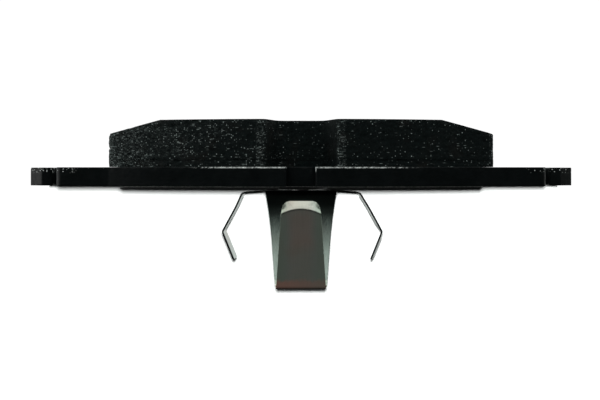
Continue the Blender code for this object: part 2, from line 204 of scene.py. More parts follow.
class Shell:
    """Points (x, v, z) in millimetres and the faces between them."""

    def __init__(self):
        self.points, self.faces, self.count = [], [], 0

    def add(self, points):
        start = self.count
        self.points.append(np.asarray(points, float))
        self.count += len(points)
        return np.arange(start, self.count)

    def ring(self, loop, z):
        return self.add(np.column_stack([loop, np.broadcast_to(z, len(loop))]))

    def join(self, low, high):
        """Quads between two rings with the same number of points."""
        after = np.roll(np.arange(len(low)), -1)
        self.faces += np.column_stack([low, low[after], high[after], high]).tolist()

    def cap(self, rings, height=None, spacing=None, extra=(), seed=1):
        """Fills between the first ring and the holes that follow it, with one polygon. The points that
        spacing spreads inside, and those on the lines x = extra, stay loose: the polygon leaves them out."""
        known = np.concatenate(self.points)
        flat = [known[ring][:, :2] for ring in rings]
        inner = []
        if spacing:
            low, high = flat[0].min(0), flat[0].max(0)
            columns = np.arange(low[0] + spacing, high[0], spacing)
            rows = np.arange(low[1] + spacing, high[1], spacing)
            grid = np.stack(np.meshgrid(columns, rows), axis=-1).reshape(-1, 2)
            grid = grid + np.random.default_rng(seed).uniform(-0.3, 0.3, grid.shape) * spacing
            for line in extra:
                grid = grid[np.abs(grid[:, 0] - line) > spacing * 0.6]
                grid = np.concatenate([grid, [(line, v) for v in rows]])
            inside = inside_loop(grid, flat[0])
            for hole in flat[1:]:
                inside &= ~inside_loop(grid, hole)
            grid = grid[inside]
            inner = grid[distance_to(np.concatenate(flat), grid) > spacing * 0.55]
        coords = [Vector(p) for loop in flat for p in loop] + [Vector(p) for p in inner]
        loops, start = [], 0
        for loop in flat:
            loops.append(list(range(start, start + len(loop))))
            start += len(loop)
        made = geometry.delaunay_2d_cdt(coords, [], loops, 3, 1e-6)
        place = np.array([tuple(p) for p in made[0]])
        index = np.concatenate(rings)
        numbers = np.full(len(place), -1)
        for new, old in enumerate(made[3]):
            for source in old:
                if source < len(index):
                    numbers[new] = index[source]
        fresh = np.flatnonzero(numbers < 0)
        if len(fresh):
            z = height(place[fresh]) if callable(height) else np.full(len(fresh), height)
            numbers[fresh] = self.add(np.column_stack([place[fresh], z]))
        self.faces += [[int(numbers[i]) for i in face] for face in made[2]]

    def build(self, name, material, sharp=40.0, depth=None, uv=None, level=False):
        """A Blender object. depth(points, normals) says how far each point sinks along its normal.
        level keeps the points of the walls at their own height."""
        points = np.concatenate(self.points)
        coords = points * (1, -1, 1)
        mesh = bpy.data.meshes.new(name)
        mesh.from_pydata((coords * MM).tolist(), [], self.faces)
        mesh.validate()
        face_out(mesh)
        if depth is not None:
            normals = np.zeros(len(mesh.vertices) * 3)
            mesh.vertices.foreach_get("normal", normals)
            normals = normals.reshape(-1, 3)
            sinks = depth(coords, normals)
            if level:
                normals = normals * np.where(np.abs(normals[:, 2:]) < 0.9, (1, 1, 0), (1, 1, 1))
                normals = normals / np.linalg.norm(normals, axis=1)[:, None]
            coords = coords - normals * sinks[:, None]
            mesh.vertices.foreach_set("co", (coords * MM).ravel())
        if uv is not None:
            layer = mesh.uv_layers.new(name="sheet")
            corner = np.zeros(len(mesh.loops), dtype=np.int64)
            mesh.loops.foreach_get("vertex_index", corner)
            layer.data.foreach_set("uv", uv[corner].ravel())
        mesh.shade_smooth()
        if sharp:
            mesh.set_sharp_from_angle(angle=math.radians(sharp))
        return place_object(name, mesh, material)


def place_object(name, mesh, material):
    """Puts a mesh in the scene, in one material."""
    mesh.materials.append(material)
    obj = bpy.data.objects.new(name, mesh)
    bpy.context.scene.collection.objects.link(obj)
    return obj


def face_out(mesh):
    """Turns every face outwards."""
    work = bmesh.new()
    work.from_mesh(mesh)
    bmesh.ops.recalc_face_normals(work, faces=work.faces)
    work.to_mesh(mesh)
    work.free()
    mesh.update()


def inside_loop(points, loop):
    """Which points lie inside a closed loop, by counting crossings."""
    inside = np.zeros(len(points), bool)
    x, y = points[:, 0], points[:, 1]
    for (ax, ay), (bx, by) in zip(loop, np.roll(loop, -1, axis=0)):
        if ay == by:
            continue
        crosses = (ay > y) != (by > y)
        inside ^= crosses & (x < (bx - ax) * (y - ay) / (by - ay) + ax)
    return inside


def distance_to(places, points):
    """How far each point is from the nearest of places."""
    tree = KDTree(len(places))
    for number, (x, y) in enumerate(places):
        tree.insert((x, y, 0), number)
    tree.balance()
    return np.array([tree.find((x, y, 0))[2] for x, y in points])


def edge_rings(radius, steps):
    """(inset, drop) pairs round a quarter circle, from the wall to the face."""
    angles = [math.pi / 2 * step / steps for step in range(steps + 1)]
    return [(radius * (1 - math.cos(a)), radius * (1 - math.sin(a))) for a in angles]


def wall(shell, loop, z_low, z_high, radius_low, radius_high, rows, steps=3):
    """Rings up a wall with a rounded edge at each end. Returns the first and last ring."""
    normal = outward(loop)
    low, high = np.broadcast_to(z_low, len(loop)), np.broadcast_to(z_high, len(loop))
    rings = []
    for inset, drop in reversed(edge_rings(radius_low, steps)):
        rings.append(shell.ring(loop - normal * inset, low + drop))
    for row in range(1, rows):
        share = row / rows
        rings.append(shell.ring(loop, (low + radius_low) * (1 - share) + (high - radius_high) * share))
    for inset, drop in edge_rings(radius_high, steps):
        rings.append(shell.ring(loop - normal * inset, high - drop))
    for below, above in zip(rings, rings[1:]):
        shell.join(below, above)
    return rings[0], rings[-1]


def sheet(name, path, half_width, material, cells, turn, bend=None, cut=None):
    """Bent sheet: path is (u, z) points of its middle, half_width(share) its half width and turn the angle
    from X to the way it faces. cut is the material of its long edges, if they have their own."""
    edge = 0.09
    run = even(path, cells, closed=False)
    along = np.gradient(run, axis=0)
    along /= np.hypot(*along.T)[:, None]
    across = np.column_stack([-along[:, 1], along[:, 0]])
    lengths = np.concatenate([[0], np.cumsum(np.hypot(*np.diff(run, axis=0).T))])
    half = np.array([half_width(s) for s in lengths / lengths[-1]])
    widest = half.max()
    columns = max(int(widest / cells), 6)
    flat = np.linspace(-1, 1, columns * 2 + 1)
    section = [("low", s) for s in flat] + [("edge", +1, a) for a in (-50, -25, 0, 25, 50)]
    section += [("high", s) for s in flat[::-1]] + [("edge", -1, a) for a in (50, 25, 0, -25, -50)]
    thick = SHEET / 2
    rings_side, rings_off = [], []
    for kind, across_share, *degrees in section:
        if kind == "edge":
            angle = math.radians(degrees[0])
            side = across_share * (half - edge + edge * math.cos(angle))
            off = np.full(len(run), (thick - edge) * np.sign(angle) + edge * math.sin(angle))
        else:
            side = across_share * (half - edge)
            off = np.full(len(run), -thick if kind == "low" else thick)
        rings_side.append(side)
        rings_off.append(off)
    side, off = np.stack(rings_side, axis=1), np.stack(rings_off, axis=1)
    u = run[:, None, 0] + across[:, None, 0] * off
    z = run[:, None, 1] + across[:, None, 1] * off
    if bend is not None:
        u, side, z = bend(u, side, z, lengths[:, None] / lengths[-1])
    c, s = math.cos(turn), math.sin(turn)
    x, y = u * c - side * s, u * s + side * c
    shell = Shell()
    rings = [shell.add(np.column_stack([x[i], -y[i], z[i]])) for i in range(len(run))]
    for below, above in zip(rings, rings[1:]):
        shell.join(below, above)
    for end in (rings[0], rings[-1]):
        end_cap(shell, end, len(flat))
    uv = np.column_stack([np.repeat(lengths, side.shape[1]), side.ravel()])
    obj = shell.build(name, material, sharp=50.0, uv=uv)
    if cut is not None:
        obj.data.materials.append(cut)
        flats, place = len(flat), np.arange(len(section))
        on_edge = ((place >= flats - 1) & (place <= flats + 4)) | (place >= 2 * flats + 4)
        slots = np.zeros(len(obj.data.polygons), dtype=np.int32)
        slots[: (len(rings) - 1) * len(section)] = np.tile(on_edge, len(rings) - 1)
        obj.data.polygons.foreach_set("material_index", slots)
    return obj


def end_cap(shell, ring, count):
    """Closes the end of a sheet with a strip of quads across its thickness."""
    low, high = list(ring[:count]), list(ring[count + 5:count * 2 + 5])[::-1]
    right, left = list(ring[count:count + 5]), list(ring[count * 2 + 5:])
    for a in range(count - 1):
        shell.faces.append([int(low[a]), int(low[a + 1]), int(high[a + 1]), int(high[a])])
    shell.faces.append([int(i) for i in [low[-1], *right, high[-1]]])
    shell.faces.append([int(i) for i in [high[0], *left, low[0]]])


# ---------------------------------------------------------------- materials

class Nodes:
    """The node tree of a material or world, with short calls for the nodes used here."""

    def __init__(self, owner):
        owner.use_nodes = True
        self.owner, self.tree = owner, owner.node_tree
        self.shader = self.tree.nodes.get("Principled BSDF")

    def add(self, kind, **settings):
        node = self.tree.nodes.new(kind)
        for key, value in settings.items():
            setattr(node, key, value)
        return node

    def link(self, source, target):
        self.tree.links.new(source, target)

    def feed(self, socket, value):
        """Links an output to a socket, or sets a number, a grey or a colour on it."""
        if not isinstance(value, (int, float, tuple)):
            self.link(value, socket)
        elif socket.type == "RGBA":
            socket.default_value = (*value, 1) if isinstance(value, tuple) else (value, value, value, 1)
        else:
            socket.default_value = value

    def scaled(self, vector, scale):
        mapping = self.add("ShaderNodeMapping")
        mapping.inputs["Scale"].default_value = scale
        self.link(vector, mapping.inputs["Vector"])
        return mapping.outputs["Vector"]

    def place(self, scale=(1, 1, 1)):
        """The object's own coordinates in millimetres, times scale."""
        return self.scaled(self.add("ShaderNodeTexCoord").outputs["Object"], [part / MM for part in scale])

    def sheet_place(self, scale=(1, 1, 1)):
        """Distance along and across a sheet in millimetres, times scale."""
        return self.scaled(self.add("ShaderNodeUVMap", uv_map="sheet").outputs["UV"], scale)

    def noise(self, vector, scale, detail=3.0, roughness=0.55, distortion=0.0):
        node = self.add("ShaderNodeTexNoise")
        settings = {"Scale": scale, "Detail": detail, "Roughness": roughness, "Distortion": distortion}
        for name, value in settings.items():
            node.inputs[name].default_value = value
        self.link(vector, node.inputs["Vector"])
        return node.outputs["Fac"]

    def cells(self, vector, scale, feature="F1", output="Distance"):
        node = self.add("ShaderNodeTexVoronoi", feature=feature)
        node.inputs["Scale"].default_value = scale
        self.link(vector, node.inputs["Vector"])
        return node.outputs[output]

    def ramp(self, value, stops):
        """Colour or grey stops as (place, colour) pairs."""
        node = self.add("ShaderNodeValToRGB")
        band = node.color_ramp
        while len(band.elements) < len(stops):
            band.elements.new(0.5)
        for element, (place, colour) in zip(band.elements, stops):
            element.position = place
            element.color = (*colour, 1) if isinstance(colour, tuple) else (colour, colour, colour, 1)
        self.link(value, node.inputs["Fac"])
        return node.outputs["Color"]

    def math(self, operation, a, b=None, clamp=False):
        node = self.add("ShaderNodeMath", operation=operation, use_clamp=clamp)
        for socket, value in zip(node.inputs, (a, b)):
            if value is not None:
                self.feed(socket, value)
        return node.outputs["Value"]

    def times(self, a, b):
        return self.math("MULTIPLY", a, b)

    def plus(self, a, b, clamp=False):
        return self.math("ADD", a, b, clamp)

    def mix(self, share, a, b, blend="MIX"):
        node = self.add("ShaderNodeMix", data_type="RGBA", blend_type=blend)
        for number, value in ((0, share), (6, a), (7, b)):
            self.feed(node.inputs[number], value)
        return node.outputs[2]

    def axis(self, vector, name):
        node = self.add("ShaderNodeSeparateXYZ")
        self.link(vector, node.inputs[0])
        return node.outputs[name]

    def between(self, value, low, high, to_low=0.0, to_high=1.0):
        """Smooth step of a value from to_low at low to to_high at high."""
        node = self.add("ShaderNodeMapRange", interpolation_type="SMOOTHSTEP")
        limits = {"From Min": low, "From Max": high, "To Min": to_low, "To Max": to_high}
        for name, number in limits.items():
            node.inputs[name].default_value = number
        self.link(value, node.inputs["Value"])
        return node.outputs["Result"]

    def band(self, value, low, high, soft):
        """1 where the value lies from low to high, falling to 0 within soft on either side."""
        rise, fall = self.between(value, low - soft, low), self.between(value, high, high + soft, 1.0, 0.0)
        return self.times(rise, fall)

    def lot(self, vector, scale, axis="X"):
        """A random number from 0 to 1 for each cell."""
        return self.axis(self.cells(vector, scale, output="Color"), axis)

    def bump(self, height, strength, distance):
        node = self.add("ShaderNodeBump")
        node.inputs["Strength"].default_value = strength
        node.inputs["Distance"].default_value = distance * MM
        self.link(height, node.inputs["Height"])
        return node.outputs["Normal"]

    def finish(self, **sockets):
        names = {"colour": "Base Color", "roughness": "Roughness", "metallic": "Metallic", "normal": "Normal",
                 "specular": "Specular IOR Level", "anisotropic": "Anisotropic"}
        for key, value in sockets.items():
            self.feed(self.shader.inputs[names[key]], value)
        return self.owner


def material_nodes(name):
    return Nodes(bpy.data.materials.new(name))


def compound_material(name="friction_compound", brown=0.35):
    """Moulded friction compound: near-black binder with steel fibres, mineral grains and graphite.
    More bright grains show towards the -X end, at the window's corners and at the end corners: painted
    glints standing in for the lamps' highlights."""
    n = material_nodes(name)
    place = n.place()
    x, y = n.axis(place, "X"), n.axis(place, "Y")
    face = n.between(n.axis(n.add("ShaderNodeNewGeometry").outputs["Normal"], "Z"), 0.6, 0.9)
    grain = n.noise(place, 1.9, detail=6.0, roughness=0.72)
    broad = n.noise(place, 0.14, detail=3.0)
    base = n.ramp(grain, [(0.3, (0.0010, 0.0020, 0.0019)), (0.54, (0.0020, 0.0042, 0.0042)),
                          (0.74, (0.0065, 0.0120, 0.0118))])
    base = n.mix(n.ramp(broad, [(0.55, 0.0), (0.75, brown)]), base, (0.0085, 0.0062, 0.0050))
    # how many bright grains show: a random share, plus painted glints towards -X, at the window's corners and
    # at the end corners
    painted_left_glints = n.plus(n.between(x, -53.0, -36.0, 0.60, 0.0), n.between(x, -22.0, 4.0, 0.27, 0.0))
    patch = n.ramp(n.noise(n.place((0.13, 0.13, 0.17)), 1.0, detail=3.0), [(0.36, 0.0), (0.62, 1.0)])
    across = n.math("ABSOLUTE", x)
    # painted glints on the window's rounded corners and on the end corners of the block
    mouth = n.times(n.band(across, 9.6, 11.4, 0.5), n.between(y, -28.0, -29.5))
    ends = n.band(across, 51.2, 53.0, 0.7)
    show = n.plus(0.10, n.times(painted_left_glints, 0.75))
    show = n.times(show, n.plus(0.3, patch))
    show = n.plus(show, n.times(n.plus(mouth, ends), 0.6), clamp=True)
    recess = n.times(n.between(across, 8.6, 9.4, 1.0, 0.0), n.between(y, -20.0, -28.5, 0.0, 1.0))
    show = n.times(show, n.math("SUBTRACT", 1.0, n.times(recess, 0.8)))
    show = n.mix(face, show, 0.34)
    # grains: small bright cells, and short streaks along the pad
    fleck = n.cells(place, 2.3)
    chosen = n.between(n.math("SUBTRACT", show, n.lot(place, 2.3)), -0.05, 0.05)
    flecks = n.times(n.ramp(fleck, [(0.2, 1.0), (0.42, 0.0)]), chosen)
    vary = n.lot(place, 2.3, "Y")
    flecks = n.times(flecks, n.plus(0.15, n.times(vary, vary)))
    lines = n.place((0.42, 0.42, 2.1))
    chosen = n.between(n.math("SUBTRACT", show, n.lot(lines, 1.25)), -0.05, 0.05)
    dashes = n.times(n.ramp(n.cells(lines, 1.25), [(0.14, 1.0), (0.3, 0.0)]), chosen)
    worms = n.noise(n.place((1.0, 1.0, 1.5)), 2.4, detail=2.0, distortion=1.2)
    worms = n.ramp(worms, [(0.545, 0.0), (0.60, 1.0), (0.66, 0.2)])
    # more worm-like grains towards -X: painted glints of the left lamp
    worms = n.times(worms, n.times(show, n.between(x, -20.0, -50.0, 0.15, 0.55)))
    bright = n.math("MAXIMUM", flecks, n.times(dashes, 0.45))
    bright = n.math("MAXIMUM", bright, worms, clamp=True)
    tone = n.mix(n.noise(place, 0.9, detail=1.0), (0.20, 0.27, 0.25), (0.40, 0.44, 0.43))
    colour = n.mix(bright, base, tone)
    height = n.noise(place, 2.6, detail=8.0, roughness=0.75)
    height = n.plus(height, n.times(bright, 0.35))
    return n.finish(colour=colour, roughness=n.ramp(bright, [(0.0, 0.66), (1.0, 0.4)]), specular=0.08,
                    metallic=n.times(bright, 0.35), normal=n.bump(height, 0.9, 0.25))


def plate_material():
    """Black powder coat over blanked steel, with a fine orange peel. A bright metal colour is painted along
    the rim-side top edge, on one corner of the notch and as flecks on the torn edges of its ears: painted
    highlights where these edges catch the lamps."""
    n = material_nodes("plate_coating")
    place = n.place()
    x, y, up = (n.axis(place, axis) for axis in "XYZ")
    across = n.math("ABSOLUTE", x)
    peel = n.noise(place, 1.1, detail=4.0, roughness=0.6)
    tone = n.noise(place, 0.25, detail=3.0)
    tone = n.ramp(tone, [(0.35, (0.0016, 0.0026, 0.0027)), (0.7, (0.0032, 0.0045, 0.0047))])
    # painted highlight on the rim-side top edge, broken up by noise and fading away from the middle
    edge = n.between(up, PLATE_TOP_Z - 0.42, PLATE_TOP_Z - 0.26)
    rim = n.between(y, -26.5, -28.5)
    far = n.between(across, 15.0, 46.0, 0.0, 0.30)
    edge_highlight_breaks = n.math("SUBTRACT", n.noise(n.place((0.9, 0.9, 1.4)), 1.3, detail=6.0, roughness=0.8), far)
    edge_highlight = n.times(n.ramp(edge_highlight_breaks, [(0.40, 0.0), (0.60, 1.0)]), n.times(edge, rim))
    # and a painted highlight on one corner of the notch
    notch = n.between(up, PLATE_TOP_Z - 1.5, PLATE_TOP_Z - 0.8)
    notch = n.times(n.band(x, 3.74, 3.9, 0.08), notch)
    notch = n.times(notch, n.between(y, -30.2, -30.6, 0.0, 0.8))
    # painted glints as flecks on the torn zone of the ears
    torn = n.between(up, PLATE_TOP_Z - 1.7, PLATE_TOP_Z - 1.2)
    torn = n.times(torn, n.between(across, 60.0, 64.0))
    flecks = n.ramp(n.cells(place, 1.9), [(0.18, 1.0), (0.38, 0.0)])
    flecks = n.times(flecks, n.between(n.lot(place, 1.9), 0.58, 0.64))
    flecks = n.times(flecks, torn)
    dust = n.ramp(n.noise(place, 5.5, detail=3.0), [(0.73, 0.0), (0.8, 0.25)])
    # all the painted highlights, in a bright metal colour and sunk a little in the bump
    painted_highlights = n.math("MAXIMUM", n.math("MAXIMUM", edge_highlight, notch), flecks, clamp=True)
    colour = n.mix(painted_highlights, n.mix(dust, tone, (0.05, 0.055, 0.052)), (0.56, 0.60, 0.58))
    height = n.plus(peel, n.times(n.noise(place, 6.0, detail=3.0), 0.25))
    height = n.math("SUBTRACT", height, n.times(painted_highlights, 0.4))
    return n.finish(colour=colour, roughness=n.ramp(peel, [(0.35, 0.3), (0.65, 0.42)]),
                    normal=n.bump(height, 0.55, 0.12), specular=0.1)


def adhesive_material():
    """Pale film adhesive with a coarse grain."""
    n = material_nodes("adhesive")
    place = n.place()
    grain = n.noise(place, 1.5, detail=5.0)
    colour = n.ramp(grain, [(0.35, (0.36, 0.41, 0.38)), (0.65, (0.82, 0.86, 0.82))])
    return n.finish(colour=colour, roughness=n.ramp(grain, [(0.3, 0.35), (0.7, 0.6)]),
                    normal=n.bump(n.noise(place, 4.0, detail=4.0), 0.4, 0.05))


def shim_steel_material():
    """Rolled shim steel, dark and streaked along the pad."""
    n = material_nodes("shim_steel")
    lines = n.noise(n.place((0.05, 2.0, 6.0)), 3.0, detail=4.0)
    colour = n.ramp(lines, [(0.3, (0.05, 0.052, 0.052)), (0.7, (0.16, 0.165, 0.16))])
    return n.finish(colour=colour, roughness=n.ramp(lines, [(0.3, 0.3), (0.7, 0.5)]), metallic=1.0,
                    normal=n.bump(lines, 0.3, 0.03))


def rubber_material():
    """Thin rubber facing: matt black with a fine leathery grain and faint rub marks."""
    n = material_nodes("shim_rubber")
    place = n.place()
    web = n.cells(place, 1.6, feature="DISTANCE_TO_EDGE")
    fine = n.noise(place, 3.5, detail=5.0, roughness=0.65)
    rub = n.noise(n.place((0.06, 0.5, 1.0)), 1.0, detail=4.0)
    colour = n.ramp(fine, [(0.3, (0.006, 0.0065, 0.0065)), (0.7, (0.014, 0.015, 0.015))])
    colour = n.mix(n.ramp(rub, [(0.55, 0.0), (0.72, 0.4)]), colour, (0.035, 0.036, 0.036))
    height = n.plus(n.ramp(web, [(0.0, 0.0), (0.12, 1.0)]), n.times(fine, 0.8))
    return n.finish(colour=colour, roughness=n.ramp(fine, [(0.3, 0.55), (0.7, 0.75)]),
                    normal=n.bump(height, 0.5, 0.08), specular=0.35)


def spring_material(name="spring_steel", tint=None):
    """Tempered spring strip: rolled lines along its length, faint temper colours, small scuffs.
    tint takes the nodes and the colour so far, and gives the new colour."""
    n = material_nodes(name)
    lines = n.noise(n.sheet_place((0.05, 3.0, 1.0)), 2.2, detail=5.0, roughness=0.6)
    cloud = n.noise(n.sheet_place((0.1, 0.12, 1.0)), 1.0, detail=2.0, distortion=0.4)
    colour = n.ramp(cloud, [(0.3, (0.52, 0.60, 0.54)), (0.5, (0.60, 0.63, 0.59)), (0.72, (0.62, 0.56, 0.50))])
    if tint is not None:
        colour = tint(n, colour)
    colour = n.mix(0.35, colour, n.ramp(lines, [(0.3, 0.7), (0.7, 1.0)]), blend="MULTIPLY")
    scuff = n.noise(n.sheet_place((0.5, 1.2, 1.0)), 1.4, detail=6.0, roughness=0.7)
    dents = n.noise(n.sheet_place((0.5, 0.5, 1.0)), 0.6, detail=2.0)
    height = n.plus(lines, n.times(dents, 0.6))
    return n.finish(colour=colour, roughness=n.ramp(scuff, [(0.4, 0.13), (0.7, 0.24)]), metallic=1.0,
                    normal=n.bump(height, 0.12, 0.012), anisotropic=0.2)


def wavering(n, scale, detail, reach):
    """Distance along a sheet, shifted to and fro by up to half of reach."""
    shift = n.math("SUBTRACT", n.noise(n.sheet_place(scale), 1.0, detail=detail), 0.5)
    return n.plus(n.axis(n.sheet_place(), "X"), n.times(shift, reach))


def cut_edge_material():
    """Sheared edge of the spring strip, painted near-black: painted shade standing in for the dark
    surroundings that the edges reflect.
    """
    n = material_nodes("spring_cut_edge")
    place = n.place()
    grain = n.noise(place, 2.5, detail=5.0)
    colour = n.ramp(grain, [(0.3, (0.010, 0.014, 0.013)), (0.7, (0.030, 0.036, 0.034))])
    return n.finish(colour=colour, roughness=n.ramp(grain, [(0.3, 0.45), (0.7, 0.65)]), metallic=0.4,
                    normal=n.bump(n.noise(place, 5.0, detail=4.0), 0.4, 0.03))


def leg_root_painted_shade(n, colour):
    """Painted shade: dark at the leg's root, where it reflects the plate's underside, clearing to bright
    steel half-way down.
    """
    clear = n.between(wavering(n, (0.2, 0.3, 1.0), 2.0, 2.0), 4.0, 14.0)
    return n.mix(clear, (0.20, 0.27, 0.24), n.mix(0.2, (0.30, 0.385, 0.34), colour))


def tongue_tint(n, colour):
    """Temper colours of the hairpin's front leg: brown at the fold, a faint brown patch under its knee."""
    here = wavering(n, (0.35, 0.5, 1.0), 4.0, 3.0)
    side = n.axis(n.sheet_place(), "Y")
    from_middle = n.math("ABSOLUTE", side)
    fold = n.times(n.band(here, 2.4, 5.2, 1.4), n.between(side, -8.0, 7.0, 1.0, 0.45))
    middle = n.between(from_middle, 1.5, 4.5, 1.0, 0.0)
    patch = n.times(n.band(here, 17.0, 23.0, 3.0), middle)
    colour = n.mix(n.times(n.between(from_middle, 2.0, 5.5), 0.7), colour, (0.50, 0.62, 0.50))
    colour = n.mix(n.times(middle, 0.5), colour, (0.62, 0.60, 0.50))
    colour = n.mix(n.times(patch, 0.4), colour, (0.78, 0.57, 0.50))
    return n.mix(n.times(fold, 0.95), colour, (1.0, 0.56, 0.45))


def rivet_material():
    """Bare steel, lightly grained by the heading tool."""
    n = material_nodes("rivet_steel")
    place = n.place()
    grain = n.noise(place, 2.0, detail=5.0)
    colour = n.ramp(grain, [(0.3, (0.38, 0.39, 0.38)), (0.7, (0.62, 0.63, 0.61))])
    return n.finish(colour=colour, roughness=n.ramp(grain, [(0.3, 0.25), (0.7, 0.45)]), metallic=1.0,
                    normal=n.bump(n.noise(place, 5.0, detail=4.0), 0.35, 0.06))


# ---------------------------------------------------------------- the pieces

def face_height(place):
    """The friction face: flat between the chamfers, then sloping down to each end."""
    return -np.maximum(np.abs(place[:, 0]) - CHAMFER_START_X, 0) * CHAMFER_SLOPE


def moulded_wall(points):
    """How far the moulded sides sink: coarse grain, fine grain and torn-out pits."""
    coarse = noise(points, (1.5, 1.5, 1.0), 3)
    middle = noise(points, (0.7, 0.7, 0.45), 5)
    fine = noise(points, 0.34, 8)
    rough = 0.35 + 0.65 * smooth_step(-0.35, 0.45, noise(points, 14.0, 11) - points[:, 0] / 80)
    pits = smooth_step(0.35, 0.75, noise(points, (1.1, 1.1, 0.6), 21))
    return 0.10 + 0.05 * coarse + (0.05 * middle + 0.035 * fine) * (0.4 + rough) + 0.22 * pits * rough


def compound_depth(points, normals):
    """The moulded sides, and a ground face that is much flatter."""
    side = 1 - smooth_step(0.6, 0.95, normals[:, 2])
    hollow = smooth_step(0.45, 0.8, noise(points, 1.3, 31))
    face = 0.02 + 0.012 * noise(points, 0.34, 8) + 0.10 * hollow
    near_top = smooth_step(-0.8, -0.1, points[:, 2] - face_height(points))
    crumbled = side * near_top * (0.34 * smooth_step(0.0, 0.6, noise(points, (1.3, 1.3, 3.0), 91))
                                  + 0.14 * smooth_step(0.0, 0.7, noise(points, (0.5, 0.5, 1.0), 92)))
    return np.maximum(side * moulded_wall(points) + (1 - side) * face + crumbled, 0)


def make_compound(material):
    """The friction block, with a chamfer at each end of its face."""
    shell = Shell()
    loop = even(lining_outline(), 0.3)
    top = face_height(loop)
    low, high = wall(shell, loop, BOND_TOP_Z, top, 0.01, 0.3, 34, steps=3)
    points = np.concatenate(shell.points)
    points[high, 2] = face_height(points[high])  # the innermost ring of the rounded edge lies in the face
    shell.points = [points]
    shell.cap([high], face_height, 0.42, extra=(-CHAMFER_START_X, CHAMFER_START_X))
    shell.cap([low])
    obj = shell.build("friction_compound", material, depth=compound_depth, sharp=None, level=True)
    finish_piece(obj, "friction_block")


def make_bond(material):
    """The bonding layer under the block, with the plugs that lock it into the plate."""
    shell = Shell()
    loop = even(lining_outline(), 0.3)
    low, high = wall(shell, loop, BOND_FOOT_Z, BOND_TOP_Z, 0.05, 0.01, 8, steps=1)
    plugs = [circle(x, v, 4.45) for x, v in LOCK_HOLES]
    roots = [shell.ring(plug, BOND_FOOT_Z) for plug in plugs]
    feet = [shell.ring(plug, PLATE_BACK_Z + 0.4) for plug in plugs]
    shell.cap([low, *roots])
    shell.cap([high])
    for root, foot in zip(roots, feet):
        shell.join(root, foot)
        shell.cap([foot])

    def depth(points, normals):
        side = 1 - smooth_step(0.75, 0.95, np.abs(normals[:, 2]))
        on_plug = points[:, 2] < BOND_FOOT_Z - 0.01
        return np.where(on_plug, 0.0, np.maximum(side * moulded_wall(points), 0))

    obj = shell.build("bonding_layer", material, depth=depth, sharp=50.0, level=True)
    finish_piece(obj, "underlayer")


def make_plate(material):
    """The backing plate, with its lock holes and the rivets' counterbored holes."""
    shell = Shell()
    loop = even(plate_outline(), 0.35)
    low, high = wall(shell, loop, PLATE_BACK_Z, PLATE_TOP_Z, 0.14, 0.16, 18, steps=3)
    holes_low, holes_high = [], []
    for x, v in LOCK_HOLES:
        ring_low = shell.ring(circle(x, v, 4.6), PLATE_BACK_Z)
        ring_high = shell.ring(circle(x, v, 4.6), PLATE_TOP_Z)
        shell.join(ring_low, ring_high)
        holes_low.append(ring_low)
        holes_high.append(ring_high)
    for v in RIVETS_V:
        seat_z = PLATE_TOP_Z - 1.9
        shank_low, shank_high = (shell.ring(circle(0, v, SHANK_HOLE), z) for z in (PLATE_BACK_Z, seat_z))
        seat_low, seat_high = (shell.ring(circle(0, v, HEAD_SEAT), z) for z in (seat_z, PLATE_TOP_Z))
        shell.join(shank_low, shank_high)
        shell.join(shank_high, seat_low)
        shell.join(seat_low, seat_high)
        holes_low.append(shank_low)
        holes_high.append(seat_high)
    shell.cap([low, *holes_low], PLATE_BACK_Z, 1.1, seed=5)
    shell.cap([high, *holes_high], PLATE_TOP_Z, 1.1, seed=6)

    def depth(points, normals):
        """Blanked edges: smooth over most of their height, with a torn zone under the top edge."""
        flat = smooth_step(0.9, 1.0, np.abs(normals[:, 2]))
        at_ears = smooth_step(60, 72, np.abs(points[:, 0]))
        torn_height = 0.9 + 0.5 * noise(points * (1, 1, 0), 5.0, 64) + 0.7 * at_ears
        torn = smooth_step(-0.25, 0.15, points[:, 2] - (PLATE_TOP_Z - torn_height)) * (1 - flat)
        chips = smooth_step(0.0, 0.7, noise(points, (0.7, 0.7, 0.5), 62))
        wave = noise(points, (7.0, 7.0, 4.0), 63)
        walls = 0.02 + 0.012 * wave + torn * (0.07 * chips + 0.03 * noise(points, 0.35, 65))
        return np.maximum(flat * (0.01 + 0.008 * wave) + (1 - flat) * walls, 0)

    obj = shell.build("coated_plate", material, depth=depth, sharp=50.0)
    finish_piece(obj, "backing_plate")


def drill(shell, radius, z_low, z_high):
    """Walls of the two rivet holes through a sheet. Returns their lower and their upper rings."""
    low = [shell.ring(circle(0, v, radius), z_low) for v in RIVETS_V]
    high = [shell.ring(circle(0, v, radius), z_high) for v in RIVETS_V]
    for below, above in zip(low, high):
        shell.join(below, above)
    return low, high


def make_shims(adhesive, steel, rubber):
    """The shim's three layers, from the plate down. The adhesive fills the gap up to the plate."""
    gap = 0.05
    z = PLATE_BACK_Z + gap
    for name, node, slot, thick, inset, material in (
        ("shim_adhesive", "shim_adhesive_film", "adhesive", 0.17, -0.04, adhesive),
        ("shim_core", "shim_steel_core", "shim_steel", 0.35, 0.0, steel),
        ("shim_facing", "shim_rubber_facing", "shim_rubber", 0.20, 0.03, rubber),
    ):
        z -= gap
        shell = Shell()
        loop = even(shim_outline(), 0.5)
        loop = loop - outward(loop) * inset
        low, high = wall(shell, loop, z - thick, z, 0.04, 0.03, 2, steps=2)
        holes_low, holes_high = drill(shell, SHIM_HOLE, z - thick, z)
        shell.cap([low, *holes_low], z - thick, 1.6, seed=7)
        shell.cap([high, *holes_high])
        obj = shell.build(name, material, sharp=50.0)
        finish_piece(obj, node)
        z -= thick


